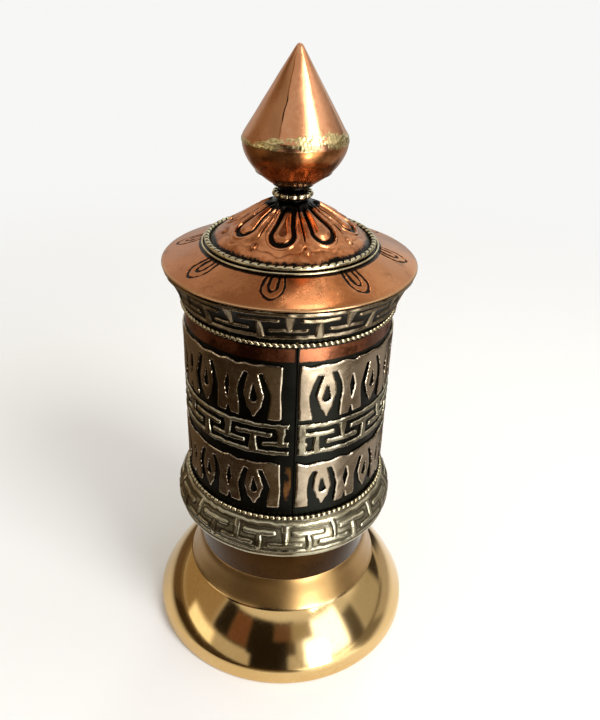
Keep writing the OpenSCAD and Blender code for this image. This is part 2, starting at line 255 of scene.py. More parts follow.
def around(r, az, z):
    """Points at radius r, azimuth az and height z."""
    r, az, z = np.broadcast_arrays(r, az, z)
    return np.stack([r * np.sin(az), -r * np.cos(az), z], -1).astype(float)


def build(name, points, quads, tris=None):
    """A smooth mesh from arrays; points are in millimetres."""
    tris = np.zeros((0, 3), int) if tris is None else tris
    corners = np.concatenate([quads.ravel(), tris.ravel()]).astype(np.int32)
    sizes = np.concatenate([np.full(len(quads), 4), np.full(len(tris), 3)])
    starts = (np.cumsum(sizes) - sizes).astype(np.int32)
    mesh = bpy.data.meshes.new(name)
    mesh.vertices.add(len(points))
    mesh.vertices.foreach_set("co", (points.reshape(-1) / MM).astype(np.float32))
    mesh.loops.add(len(corners))
    mesh.loops.foreach_set("vertex_index", corners)
    mesh.polygons.add(len(sizes))
    mesh.polygons.foreach_set("loop_start", starts)
    mesh.polygons.foreach_set("use_smooth", np.ones(len(sizes), bool))
    mesh.update(calc_edges=True)
    mesh.validate()
    mesh.set_sharp_from_angle(angle=math.radians(48))
    return mesh


def paint(mesh, **layers):
    """Stores named numbers per vertex, such as how deep in a recess the vertex lies."""
    for name, values in layers.items():
        values = np.broadcast_to(values, (len(mesh.vertices),)).astype(np.float32)
        mesh.attributes.new(name, "FLOAT", "POINT").data.foreach_set("value", values.copy())


def place(mesh, node, material):
    """Shows a mesh in place of a CAD node, on the node's own body. The finial leans a little to +X."""
    if BODY_OF[node] == "lid":
        points = np.zeros(len(mesh.vertices) * 3, np.float32)
        mesh.vertices.foreach_get("co", points)
        points[::3] += LEAN * np.clip(points[2::3] - LEAN_FROM, 0, None)
        mesh.vertices.foreach_set("co", points)
    mesh.materials.append(material)
    piece = bpy.data.objects.new(node + "_made", mesh)
    bpy.context.scene.collection.objects.link(piece)
    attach(piece, BODY_OF[node])
    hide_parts(node)


def cells(rows, cols, wrap_rows=False, wrap_cols=False):
    """Quads of a grid of points, facing the way that columns cross rows."""
    i = np.arange(rows if wrap_rows else rows - 1)[:, None]
    j = np.arange(cols if wrap_cols else cols - 1)[None]
    i2, j2 = (i + 1) % rows, (j + 1) % cols
    corners = [i * cols + j, i * cols + j2, i2 * cols + j2, i2 * cols + j]
    return np.stack(np.broadcast_arrays(*corners), -1).reshape(-1, 4)


def azimuths(count, start=SEAM):
    return start + np.arange(count) * TURN / count


def rounded(corners, steps=4):
    """A closed outline of (radius, height, rounding) corners, listed bottom, outside, top, inside."""
    out = []
    for k, (r, z, size) in enumerate(corners):
        here = np.array((r, z), float)
        if not size:
            out.append(here)
            continue
        before = np.array(corners[k - 1][:2], float) - here
        after = np.array(corners[(k + 1) % len(corners)][:2], float) - here
        a = here + before * min(0.5, size / np.linalg.norm(before))
        b = here + after * min(0.5, size / np.linalg.norm(after))
        for t in np.linspace(0, 1, steps + 1):
            out.append((1 - t) ** 2 * a + 2 * t * (1 - t) * here + t * t * b)
    return np.array(out)


def lathe(name, outline, columns):
    """A closed outline of (radius, height) points turned about the axis."""
    outline = np.asarray(outline, float)
    points = around(outline[:, :1], azimuths(columns)[None], outline[:, 1:])
    return build(name, points.reshape(-1, 3), cells(len(outline), columns, True, True))


def turned(node, corners, columns, material, steps=4):
    """A turned piece in place of a node, from corners as for rounded()."""
    place(lathe(node, rounded(corners, steps), columns), node, material)


def solid(name, outer, inner, wrap=True):
    """A closed sheet between an outer and an inner grid of points, rows running upwards."""
    rows, cols = outer.shape[:2]
    count = rows * cols
    face = cells(rows, cols, False, wrap)
    quads = [face, face[:, ::-1] + count]
    index = np.arange(count).reshape(rows, cols)
    rims = [index[-1], index[0][::-1]]
    if not wrap:
        rims += [index[:, 0], index[::-1, -1]]
    for k, rim in enumerate(rims):
        nxt = np.roll(rim, -1) if (wrap and k < 2) else rim[1:]
        rim = rim if (wrap and k < 2) else rim[:-1]
        quads.append(np.stack([rim, nxt, nxt + count, rim + count], -1))
    points = np.concatenate([outer.reshape(-1, 3), inner.reshape(-1, 3)])
    return build(name, points, np.concatenate(quads))


def smooth(low, high, value):
    t = np.clip((value - low) / (high - low), 0, 1)
    return t * t * (3 - 2 * t)


def ripple(points, size, amount, seed):
    """Gentle unevenness over space: a few sine waves of about the given length."""
    draw = np.random.default_rng(seed)
    total = 0
    for _ in range(7):
        way = draw.normal(size=3)
        way *= TURN / (np.linalg.norm(way) * size * draw.uniform(0.6, 1.7))
        total = total + np.sin(points @ way + draw.uniform(0, TURN))
    return amount * total / 2.6


# ---- flat shapes, as depth inside the metal (positive inside) ----

def stroke(x, y, points, widths):
    """A line of varying half width through the points."""
    depth = np.full(x.shape, -1e3)
    for (a, wa), (b, wb) in zip(zip(points[:-1], widths[:-1]), zip(points[1:], widths[1:])):
        ax, ay, bx, by = *a, *b
        dx, dy = bx - ax, by - ay
        t = np.clip(((x - ax) * dx + (y - ay) * dy) / (dx * dx + dy * dy), 0, 1)
        away = np.hypot(x - ax - t * dx, y - ay - t * dy)
        depth = np.maximum(depth, wa + (wb - wa) * t - away)
    return depth


def curve(points, widths, steps):
    """Extra points along a smooth line through the given ones."""
    p = np.array(points, float)
    w = np.array(widths, float)
    p = np.concatenate([2 * p[:1] - p[1:2], p, 2 * p[-1:] - p[-2:-1]])
    out, wide = [], []
    for k in range(1, len(p) - 2):
        for t in np.arange(steps) / steps:
            a, b, c, d = p[k - 1], p[k], p[k + 1], p[k + 2]
            out.append(0.5 * (2 * b + (c - a) * t + (2 * a - 5 * b + 4 * c - d) * t * t
                              + (3 * b - a - 3 * c + d) * t ** 3))
            wide.append(w[k - 1] + (w[k] - w[k - 1]) * t)
    out.append(p[-2])
    wide.append(w[-1])
    return [tuple(q) for q in out], wide


def block(x, y, x0, x1, y0, y1, soft=0.2):
    """A rectangle with round corners."""
    qx = np.abs(x - (x0 + x1) / 2) - (x1 - x0) / 2 + soft
    qy = np.abs(y - (y0 + y1) / 2) - (y1 - y0) / 2 + soft
    outside = np.hypot(np.maximum(qx, 0), np.maximum(qy, 0))
    return soft - outside - np.minimum(np.maximum(qx, qy), 0)


def fold(x, pitch, centre):
    """Distance along a repeating row from the nearest centre."""
    return (x - centre + pitch / 2) % pitch - pitch / 2


def t_keys(x, y, pitch, stand, hang, rails, bars, half_bar, stem, bar_half):
    """Interlocked T keys between two rails: some stand on the lower rail and some hang."""
    (low0, low1), (high0, high1) = rails
    low_bar, high_bar = bars
    depth = np.maximum(np.minimum(y - low0, low1 - y), np.minimum(y - high0, high1 - y))
    xs, xh = fold(x, pitch, stand), fold(x, pitch, hang)
    depth = np.maximum(depth, stroke(xs, y, [(0, low1), (0, high_bar)], (stem[1], stem[0])))
    depth = np.maximum(depth, stroke(xh, y, [(0, high0), (0, low_bar)], (stem[1], stem[0])))
    for xx, yy in ((xs, high_bar), (xh, low_bar)):
        depth = np.maximum(depth, stroke(xx, y, [(-half_bar, yy), (half_bar, yy)], (bar_half, bar_half)))
    return depth


def pierced(node, material, depth_of, span, edge, bevel, seed, step=0.22, uneven=0.03):
    """A plate bent round the drum, cut to the shape where depth_of(x, y) is positive."""
    base, (_, z0, z1) = reach("drum_shell")[0], reach(node)
    length = span * (base + PLATE)
    nu, nv = int(length / step), int((z1 - z0) / step)
    x, y = np.meshgrid(np.linspace(0, length, nu + 1), np.linspace(0, z1 - z0, nv + 1))
    depth = depth_of(x, y)
    gy, gx = np.gradient(depth, (z1 - z0) / nv, length / nu)
    slope = np.maximum(gx * gx + gy * gy, 0.25)
    near = np.abs(depth) < 0.6 * step
    x = np.clip(np.where(near, x - depth * gx / slope, x), 0, length)
    y = np.clip(np.where(near, y - depth * gy / slope, y), 0, z1 - z0)
    inside = (depth > 0) | near
    depth = np.where(near, 0, depth)

    quads = cells(nv + 1, nu + 1)
    held = inside.ravel()[quads]
    count = held.sum(1)
    whole = quads[count == 4]
    odd, gap = quads[count == 3], held[count == 3].argmin(1)
    pick = (gap[:, None] + np.arange(1, 4)) % 4
    part = np.take_along_axis(odd, pick, 1)

    used = np.unique(np.concatenate([whole.ravel(), part.ravel()]))
    renumber = np.zeros(inside.size, int)
    renumber[used] = np.arange(len(used))
    whole, part = renumber[whole], renumber[part]
    n = len(used)
    x, y, depth = x.ravel()[used], y.ravel()[used], depth.ravel()[used]
    az = PLATE_START + x / (base + PLATE)
    top = around(base + PLATE, az, z0 + y)
    lift = PLATE - bevel * (1 - np.clip(depth / edge, 0, 1)) ** 2
    lift = lift + ripple(top, 5, uneven, seed)
    points = np.concatenate([around(base + lift, az, z0 + y), around(base, az, z0 + y)])

    ends = np.concatenate([np.stack([f, np.roll(f, -1, 1)], -1).reshape(-1, 2) for f in (whole, part)])
    lone = ends[~np.isin(ends[:, 0] * n + ends[:, 1], ends[:, 1] * n + ends[:, 0])]
    walls = np.stack([lone[:, 1], lone[:, 0], lone[:, 0] + n, lone[:, 1] + n], -1)
    quads = np.concatenate([whole, whole[:, ::-1] + n, walls])
    tris = np.concatenate([part, part[:, ::-1] + n])
    mesh = build(node, points, quads, tris)
    paint(mesh, recess=np.concatenate([np.zeros(n), np.ones(n)]),
          wear=np.concatenate([1 - smooth(0, 0.5, depth), np.zeros(n)]))
    place(mesh, node, material)


def relief(node, material, front, back, az, push, **layers):
    """A turned sheet in place of a node: its front line is pushed out along its normal and painted with
    the layers, and its back line stays."""
    front, back = np.asarray(front, float), np.asarray(back, float)
    along = np.gradient(front, axis=0)
    normal = np.stack([along[:, 1], -along[:, 0]], -1)
    normal /= np.linalg.norm(normal, axis=1, keepdims=True)
    push = np.broadcast_to(push, (len(front), len(az)))
    face = around(front[:, :1] + push * normal[:, :1], az[None], front[:, 1:] + push * normal[:, 1:])
    rear = around(back[:, :1], az[None], back[:, 1:])
    points = np.concatenate([face, rear])
    mesh = build(node, points.reshape(-1, 3), cells(len(points), len(az), True, True))
    for key, values in layers.items():
        full = np.zeros(points.shape[:2])
        full[:len(front)] = values
        paint(mesh, **{key: full.ravel()})
    place(mesh, node, material)


def ring(node, tube_of, columns, sides, dark, bright, shine=1.0, inset=0.0):
    """A closed ring of wire in place of a node. tube_of(azimuth, angle round the wire, full radius) gives
    the wire's radius there. Patina fades out over the dark range of it, and wear comes with the bright
    range, both as shares of the full radius."""
    r, low, high = reach(node)
    wire = (high - low) / 2
    az = azimuths(columns)[None]
    turn = (np.arange(sides) * TURN / sides)[:, None]
    tube = tube_of(az, turn, wire) * np.ones_like(turn)
    points = around(r - wire - inset + tube * np.cos(turn), az, (low + high) / 2 + tube * np.sin(turn))
    mesh = build(node, points.reshape(-1, 3), cells(sides, columns, True, True))
    share = (tube / wire).ravel()
    paint(mesh, recess=1 - smooth(*dark, share), wear=shine * smooth(*bright, share))
    place(mesh, node, ROPE_METAL)


def line(*corners, steps=5):
    """A smooth line through the points, as an array."""
    return np.array(curve(corners, [0] * len(corners), steps)[0])


# ---- materials ----

def start_material(name):
    material = bpy.data.materials.new(name)
    material.use_nodes = True
    tree = material.node_tree
    here = add(tree, "ShaderNodeTexCoord").outputs["Object"]
    spot = add(tree, "ShaderNodeMapping", {"Vector": here})
    spot.inputs["Scale"].default_value = (MM, MM, MM)
    return material, tree, tree.nodes["Principled BSDF"], spot.outputs[0]


def noise(tree, spot, size, detail=3.0, stretch=None):
    """Noise with features of about the given size in millimetres."""
    if stretch:
        spot = add(tree, "ShaderNodeMapping", {"Vector": spot, "Scale": stretch}).outputs[0]
    node = add(tree, "ShaderNodeTexNoise", {"Vector": spot, "Scale": 1.0 / size, "Detail": detail})
    return node.outputs["Fac"]


def layer(tree, name):
    return add(tree, "ShaderNodeAttribute", attribute_name=name).outputs["Fac"]


def finish_material(tree, shader, colour, roughness, height):
    """Gives the shader its colour and roughness, and a height in millimetres as bumps."""
    bump = add(tree, "ShaderNodeBump", {"Height": height, "Distance": 1 / MM})
    for key, value in (("Base Color", colour), ("Roughness", roughness), ("Normal", bump.outputs[0])):
        feed(tree, shader, key, value)


def metal(name, light, dark, rough, mottle, patina=(0.012, 0.0095, 0.008), turned=0.0, streaks=0.0,
          dents=0.01, grain=0.002, stain=0.0, stain_tone=(0.12, 0.05, 0.03), worn=(0.9, 0.86, 0.78),
          tint=None, dull=0.0, edges=0.4):
    """Aged metal: mottled tone, dark patina in recesses, worn edges, fine marks from its making."""
    material, tree, shader, spot = start_material(name)
    cloud = noise(tree, spot, mottle, 5)
    fine = noise(tree, spot, 0.9, 4)
    mixed = maths(tree, "ADD", cloud, maths(tree, "MULTIPLY", maths(tree, "SUBTRACT", fine, 0.5), 0.45))
    colour = blend(tree, ramp(tree, mixed, 0.36, 0.64), dark, light)
    if stain:
        spots = maths(tree, "MULTIPLY", ramp(tree, noise(tree, spot, 4.2, 6), 0.58, 0.74), stain)
        specks = maths(tree, "MULTIPLY", ramp(tree, noise(tree, spot, 1.3, 2), 0.68, 0.76), stain * 0.7)
        colour = blend(tree, maths(tree, "MAXIMUM", spots, specks), colour, stain_tone)
    # tint: the copper showing in the drum's gap is real colour; the band by the cone's seam is painted shade
    # and the foot's upper flare a painted reflection tone
    if tint:
        colour = blend(tree, layer(tree, "tint"), colour, tint)
    wear = layer(tree, "wear")
    colour = blend(tree, maths(tree, "MULTIPLY", wear, edges), colour, worn)
    uneven = maths(tree, "MULTIPLY", maths(tree, "SUBTRACT", fine, 0.5), 0.7)
    deep = ramp(tree, maths(tree, "ADD", layer(tree, "recess"), uneven), 0.28, 0.62)
    colour = blend(tree, deep, colour, patina)
    shader.inputs["Metallic"].default_value = 1.0
    gloss = ramp(tree, maths(tree, "ADD", mixed, maths(tree, "MULTIPLY", wear, -0.15)), 0.3, 0.7, *rough)
    gloss = maths(tree, "ADD", gloss, maths(tree, "MULTIPLY", deep, 0.12))
    if dull:
        gloss = maths(tree, "ADD", gloss, maths(tree, "MULTIPLY", layer(tree, "tint"), dull))

    bumps = [(dents, noise(tree, spot, 5.5, 2)), (grain, noise(tree, spot, 0.35, 3))]
    if streaks:
        bumps.append((streaks, noise(tree, spot, 1.0, 3, (0.12, 0.12, 6.0))))
    if turned:
        parts = add(tree, "ShaderNodeSeparateXYZ", {0: spot}).outputs
        flat = add(tree, "ShaderNodeCombineXYZ", {0: parts[0], 1: parts[1]}).outputs[0]
        radius = add(tree, "ShaderNodeVectorMath", {0: flat}, operation="LENGTH").outputs["Value"]
        rings = add(tree, "ShaderNodeCombineXYZ", {0: radius, 2: parts[2]}).outputs[0]
        bumps.append((turned, noise(tree, rings, 0.33, 3)))
    height = 0.0
    for amount, value in bumps:
        height = maths(tree, "ADD", maths(tree, "MULTIPLY", value, amount), height)
    finish_material(tree, shader, colour, gloss, height)
    return material


def paper_material():
    material, tree, shader, spot = start_material("old_paper")
    fibre = noise(tree, spot, 0.7, 6, (1, 1, 0.4))
    clouds, fibres = ramp(tree, noise(tree, spot, 7, 4), 0.35, 0.65), ramp(tree, fibre, 0.45, 0.7)
    colour = blend(tree, clouds, (0.66, 0.53, 0.33), (0.80, 0.70, 0.49))
    colour = blend(tree, maths(tree, "MULTIPLY", fibres, 0.4), colour, (0.45, 0.33, 0.19))
    # painted shade: darker in the grooves between the paper's turns
    colour = blend(tree, layer(tree, "recess"), colour, (0.22, 0.15, 0.08))
    finish_material(tree, shader, colour, 0.85, maths(tree, "MULTIPLY", fibre, 0.03))
    return material


def tape_material():
    material, tree, shader, spot = start_material("red_tape")
    warp = noise(tree, spot, 0.5, 1, (0.3, 0.3, 4.0))
    weft = noise(tree, spot, 0.5, 1, (3.0, 3.0, 0.4))
    weave = maths(tree, "MULTIPLY", maths(tree, "ADD", warp, weft), 0.5)
    colour = blend(tree, ramp(tree, weave, 0.38, 0.6), (0.22, 0.015, 0.012), (0.47, 0.05, 0.035))
    shader.inputs["Sheen Weight"].default_value = 0.3
    finish_material(tree, shader, colour, 0.8, maths(tree, "MULTIPLY", weave, 0.08))
    return material


# its tint is a painted reflection tone on the foot's upper flare
FOOT_BRASS = metal("foot_brass", (0.74, 0.52, 0.235), (0.67, 0.45, 0.185), rough=(0.07, 0.12), mottle=24,
                   turned=0.0005, dents=0.003, grain=0.0001, worn=(0.84, 0.66, 0.36), tint=(0.43, 0.25, 0.09),
                   dull=0.24)
# painted shade: this brass is darkened to a deep brown for the shade under the skirt; its worn colour stays
# brass
NECK_BRASS_SHADED = metal("neck_brass", (0.055, 0.024, 0.005), (0.032, 0.013, 0.0025), rough=(0.12, 0.2), mottle=18,
                   turned=0.001, dents=0.004, grain=0.0002, worn=(0.5, 0.32, 0.12))
STEEL = metal("turned_steel", (0.50, 0.49, 0.47), (0.38, 0.37, 0.35), rough=(0.22, 0.38), mottle=5,
              turned=0.002, dents=0.002, grain=0.001, worn=(0.7, 0.69, 0.67))
BUSH_BRASS = metal("bush_brass", (0.60, 0.42, 0.18), (0.46, 0.30, 0.11), rough=(0.2, 0.34), mottle=6,
                   turned=0.002, dents=0.003, grain=0.001, stain=0.3, worn=(0.8, 0.6, 0.32))
WHITE_METAL = metal("white_metal", (0.43, 0.34, 0.24), (0.345, 0.262, 0.175), rough=(0.2, 0.28), mottle=6,
                    streaks=0.002, grain=0.001, stain=0.12, stain_tone=(0.17, 0.12, 0.07),
                    worn=(0.72, 0.62, 0.47), patina=(0.012, 0.012, 0.009), edges=0.3)
FRET_METAL = metal("fret_metal", (0.32, 0.275, 0.19), (0.18, 0.15, 0.095), rough=(0.22, 0.36), mottle=4,
                   dents=0.02, grain=0.003, stain=0.3, stain_tone=(0.08, 0.06, 0.035),
                   worn=(0.72, 0.66, 0.50), patina=(0.012, 0.012, 0.009), edges=0.3)
# painted shade: a darker, browner copy of the white metal, for the shade under the roof's eave
CORNICE_METAL_SHADED = metal("cornice_metal_painted_shade", (0.28, 0.215, 0.135), (0.15, 0.11, 0.065), rough=(0.2, 0.34), mottle=4,
                      dents=0.02, grain=0.003, stain=0.35, stain_tone=(0.08, 0.05, 0.025),
                      worn=(0.80, 0.68, 0.46), patina=(0.010, 0.008, 0.005))
SKIRT_METAL = metal("skirt_metal", (0.42, 0.38, 0.265), (0.29, 0.255, 0.165), rough=(0.19, 0.3), mottle=5,
                    dents=0.02, stain=0.2, stain_tone=(0.15, 0.12, 0.07),
                    worn=(0.84, 0.80, 0.64), patina=(0.10, 0.085, 0.05), edges=0.25)
DRUM_COPPER = metal("drum_copper", (0.27, 0.095, 0.045), (0.13, 0.045, 0.021), rough=(0.2, 0.34), mottle=7,
                    streaks=0.003, dents=0.02, stain=0.5, stain_tone=(0.04, 0.017, 0.01),
                    patina=(0.013, 0.013, 0.010), worn=(0.5, 0.27, 0.16), tint=(0.40, 0.20, 0.06))
INNER_COPPER = metal("inner_copper", (0.56, 0.25, 0.14), (0.40, 0.16, 0.085), rough=(0.28, 0.42), mottle=8,
                     grain=0.003, stain=0.3)
ROOF_COPPER = metal("roof_copper", (0.53, 0.205, 0.08), (0.42, 0.15, 0.052), rough=(0.2, 0.3), mottle=11,
                    dents=0.012, grain=0.0008, stain=0.45, stain_tone=(0.11, 0.04, 0.016),
                    patina=(0.016, 0.008, 0.005), worn=(0.62, 0.48, 0.26))
CROWN_COPPER = metal("crown_copper", (0.54, 0.215, 0.09), (0.33, 0.11, 0.038), rough=(0.18, 0.28), mottle=4.5,
                     dents=0.02, stain=0.4, stain_tone=(0.07, 0.025, 0.012),
                     patina=(0.006, 0.005, 0.004), worn=(0.78, 0.42, 0.24))
# its tint is the painted shade just left of the lap seam
CONE_COPPER = metal("cone_copper", (0.62, 0.30, 0.155), (0.53, 0.235, 0.11), rough=(0.2, 0.27), mottle=9,
                    dents=0.006, grain=0.0006, stain=0.12, stain_tone=(0.30, 0.13, 0.055),
                    patina=(0.03, 0.015, 0.01), worn=(0.80, 0.47, 0.28), tint=(0.32, 0.14, 0.055))
BOWL_COPPER = metal("bowl_copper", (0.54, 0.235, 0.09), (0.38, 0.145, 0.048), rough=(0.2, 0.3), mottle=6,
                    turned=0.0012, dents=0.012, grain=0.001, stain=0.3, stain_tone=(0.09, 0.03, 0.012),
                    patina=(0.012, 0.007, 0.005), worn=(0.75, 0.4, 0.2))
BRAZE = metal("braze_brass", (0.60, 0.47, 0.22), (0.40, 0.30, 0.12), rough=(0.22, 0.36), mottle=1.8,
              dents=0.03, grain=0.006, stain=0.35, stain_tone=(0.20, 0.13, 0.04), worn=(0.8, 0.7, 0.42))
ROPE_METAL = metal("rope_metal", (0.56, 0.48, 0.30), (0.36, 0.295, 0.165), rough=(0.18, 0.3), mottle=2,
                   dents=0.02, patina=(0.014, 0.011, 0.007), worn=(0.86, 0.77, 0.54))
BLACK_METAL = metal("black_metal", (0.022, 0.018, 0.015), (0.010, 0.008, 0.007), rough=(0.2, 0.36),
                    mottle=2, dents=0.03, grain=0.004, worn=(0.3, 0.22, 0.12))
PAPER = paper_material()
TAPE = tape_material()


# ---- base ----

def make_foot():
    r, _, top = reach("foot")
    neck = reach("neck_cup")[0]
    hole, sheet = neck - 5, 0.9
    rim = line((r - 0.6, 0), (r - 0.12, 0.3), (r, 1.2), (r - 0.05, 2.3), (r - 0.14, 2.7), (r - 0.12, 3.1),
               (r - 0.24, 3.9), (r - 0.5, 4.6), steps=6)
    t = np.linspace(0, 1, 40)[1:-1, None]
    low, crease = np.array((r - 0.5, 4.6)), np.array((r - 10, 17.6))
    side = low + (crease - low) * t + np.array((0.6, 0.45)) * 4 * t * (1 - t)
    edge = line((r - 10, 17.6), (r - 10.2, 17.95), (r - 10.7, 19.1), (r - 11.7, 22), (neck + 0.45, 24.9),
                (neck, top - 0.05), steps=6)
    outer = np.concatenate([rim, side, edge])
    flange = [(neck - 0.1, top), (hole, top), (hole, top - sheet), (neck - 1.2, top - sheet)]
    inner = line((neck - 0.7, 24.6), (r - 11.3, 18), (r - 5.3, 9.6), (r - 2.2, 4.2), (r - 1.7, 0))
    outline = np.concatenate([outer, flange, inner])
    columns = 320
    mesh = lathe("foot", outline, columns)
    # painted reflection tone: above the crease the brass is painted a darker tan for the dimmer surroundings
    # it mirrors there; the same layer makes it rougher, a real satin finish
    dull = smooth(17.2, 18.4, outline[:, 1]) * 0.85
    paint(mesh, tint=np.repeat(dull, columns))
    place(mesh, "foot", FOOT_BRASS)


def make_neck():
    r, low, high = reach("neck_cup")
    bore = reach("spindle")[0]
    turned("neck_cup", [(r, low, 0.1), (r, high, 0.7), (bore, high, 0), (bore, high - 1.2, 0),
                        (r - 0.9, high - 1.2, 0.8), (r - 0.9, low, 0.1)], 256, NECK_BRASS_SHADED)


def make_nut(node):
    """A hexagonal nut with chamfered corners and bore."""
    low_corner, high_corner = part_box(node)
    corner = high_corner.x * MM
    low, high = low_corner.z * MM, high_corner.z * MM
    flat = corner * math.cos(math.pi / 6)
    bore = reach("spindle")[0] if corner > 3.5 else reach("stem_washer")[0] * 0.47
    columns, chamfer = 96, 0.4
    az = azimuths(columns, math.pi / 2)[None]
    hexagon = flat / np.cos((az % (TURN / 6)) - TURN / 12)
    slope = (hexagon - flat) * 0.55
    rows = [(flat * 0.98, low), (hexagon, low + slope), (hexagon, high - slope), (flat * 0.98, high),
            (bore + chamfer, high), (bore, high - chamfer), (bore, low + chamfer), (bore + chamfer, low)]
    points = np.concatenate([around(r, az, z) for r, z in rows])
    mesh = build(node, points.reshape(-1, 3), cells(len(rows), columns, True, True))
    mesh.set_sharp_from_angle(angle=math.radians(20))
    place(mesh, node, STEEL)


def make_washer(node, bore, material=STEEL):
    r, low, high = reach(node)
    edge = 0.15
    turned(node, [(r, low, edge), (r, high, edge), (bore, high, edge), (bore, low, edge)], 96, material, 3)


def make_spindle():
    """The spindle, with a screw thread at each end."""
    r, low, high = reach("spindle")
    neck_top = reach("neck_cup")[2]
    retain = reach("retaining_washer")[2]
    pitch, depth = 0.8, 0.22
    z = np.arange(low + 0.4, high - 0.35, 0.1)[:, None]
    columns = 40
    az = azimuths(columns)[None]
    threaded = 1 - smooth(neck_top + 3.6, neck_top + 3.9, z) + smooth(retain - 0.9, retain - 0.6, z)
    groove = np.abs(((z / pitch + az / TURN) % 1) * 2 - 1)
    body = around(r - depth * groove * threaded, az, z)
    caps = [around(rr, az, zz) for rr, zz in ((0.02, low), (r - 0.5, low), (r - 0.2, low + 0.2))]
    tops = [around(rr, az, zz) for rr, zz in ((r - 0.25, high - 0.2), (r - 0.6, high), (0.02, high))]
    points = np.concatenate(caps + [body] + tops)
    mesh = build("spindle", points.reshape(-1, 3), cells(len(points), columns, True, True))
    place(mesh, "spindle", STEEL)


def make_base():
    make_foot()
    make_neck()
    make_spindle()
    for node in ("spindle_lower_nut", "spindle_shoulder_nut", "retaining_nut"):
        make_nut(node)
    bore = reach("spindle")[0]
    make_washer("spindle_lower_washer", bore)
    make_washer("thrust_washer", bore, BUSH_BRASS)
    make_washer("retaining_washer", bore)


make_base()


# ---- drum ----

SHEET, PLATE = 0.6, 0.62                # thickness of the copper sheet, and of the plates on the drum
MOTIFS = 12                             # repeats of the pattern round the drum
SPAN = TURN - math.radians(8)           # azimuth covered by the plates
PLATE_START = SEAM + math.radians(1.3)  # the plates start just right of the seam


def make_drum_shell():
    r, low, high = reach("drum_shell")
    slit = math.radians(0.55)
    cols = 340
    az = np.linspace(SEAM + slit, SEAM + TURN - slit, cols)[None]
    z = np.linspace(low, high, 126)[:, None]
    outer = around(r, az, z)
    past = np.minimum(az - SEAM, SEAM + TURN - az) * r      # millimetres from the seam
    curl = 0.12 * np.exp(-past / 1.5) * smooth(94, 97, z)
    bulge = ripple(outer, 9, 0.05, 11) * smooth(0, 3, past) + curl
    outer = around(r + bulge, az, z)
    inner = around(r - SHEET, az, z)
    mesh = solid("drum_shell", outer, inner, wrap=False)
    strip = smooth(95.3, 96.4, z) * (1 - smooth(98.6, 99.9, z))
    mottled = smooth(-0.8, 0.9, ripple(outer * np.array([1, 1, 0.4]), 2.4, 0.6, 12))
    # the copper shows in the gap left of the seam, next to the lower plate's end
    gap = (1 - smooth(2.0, 2.9, past)) * (az > math.pi) * smooth(52.5, 57, z) * (1 - smooth(63, 70, z))
    recess = 1 - 0.95 * strip - 0.8 * gap * (0.5 + 0.5 * mottled)
    recess = np.maximum(recess, 1 - smooth(0.25, 0.6, past))
    back = np.zeros(z.size * cols)
    paint(mesh, recess=np.concatenate([recess.ravel(), back]),
          tint=np.concatenate([(gap * mottled).ravel(), back]))
    place(mesh, "drum_shell", DRUM_COPPER)


def ornament_depth(x, y, h, seed):
    """A lotus frieze: pierced petals hanging from a rail between waisted posts, under a wavy top edge."""
    pitch = SPAN * (reach("drum_shell")[0] + SHEET) / MOTIFS
    shape = np.stack([x, y, np.full_like(x, 7.0 * seed)], -1)
    x = x + ripple(shape, 7, 0.16, seed)
    y = y + ripple(shape, 6, 0.14, seed + 1)
    length = pitch * MOTIFS
    crest = h - 0.42 + 0.3 * np.cos(TURN * x / pitch * 2 + 0.9 * np.sin(x * 0.41)) * np.sin(x * 0.29 + 1.1)
    rail = y - (h - 2.7 + 0.25 * np.sin(x * 0.9))
    from_petal = np.abs(fold(x, pitch, pitch / 2))
    from_post = pitch / 2 - from_petal
    heights = [(0, share * h) for share in (0.82, 0.62, 0.44, 0.26, 0.07)]
    petal = stroke(from_petal, y, heights, (1.2, 2.0, 2.45, 1.75, 0.4))
    post = stroke(from_post, y, heights, (4.5, 3.35, 2.8, 3.05, 3.3))
    drop = stroke(from_petal, y, [(0, 0.62 * h), (0, 0.37 * h)], (0.12, 0.95))
    lens = stroke(from_post, y, [(0, 0.72 * h), (0, 0.50 * h), (0, 0.28 * h)], (0.1, 0.8, 0.1))
    notch = stroke(from_post, y, [(0, -1), (0, 0.13 * h)], (1.0, 0.2))
    inner = np.abs(x - length / 2) < length / 2 - 1.5
    cut = np.maximum(drop, np.where(inner, np.maximum(lens, notch), -1e3))
    depth = np.minimum(np.max([rail, petal, post], axis=0), -cut)
    return np.min([depth, block(x, y, 0.05, length - 0.05, 0.1, 2 * h, 0.6), crest - y], axis=0)


def make_ornament(node, seed):
    _, low, high = reach(node)
    pierced(node, WHITE_METAL, lambda x, y: ornament_depth(x, y, high - low, seed), SPAN,
            edge=0.26, bevel=0.16, seed=seed)


def make_middle_band():
    _, low, high = reach("middle_fret_band")
    span, h = SPAN + math.radians(4), high - low
    pitch = span * (reach("drum_shell")[0] + PLATE) / MOTIFS

    def depth_of(x, y):
        shape = np.stack([x, y, np.zeros_like(x)], -1)
        x = x + ripple(shape, 2.6, 0.12, 31)
        y = y + ripple(shape, 3.1, 0.10, 32)
        keys = t_keys(x, y, pitch, 0.21 * pitch + 2.0, 0.71 * pitch + 2.0, ((0.1, 1.3), (h - 1.3, h - 0.1)),
                      (0.36 * h, 0.65 * h), 0.3 * pitch, stem=(0.6, 1.1), bar_half=0.66)
        keys = np.maximum(keys, block(x, y, 0.0, 2.3, 0.2, h - 0.2, 0.3))
        return np.minimum(keys, block(x, y, 0.05, pitch * MOTIFS - 0.05, 0, h, 0.3))

    pierced("middle_fret_band", FRET_METAL, depth_of, span, edge=0.4, bevel=0.3, seed=33, step=0.17,
            uneven=0.05)


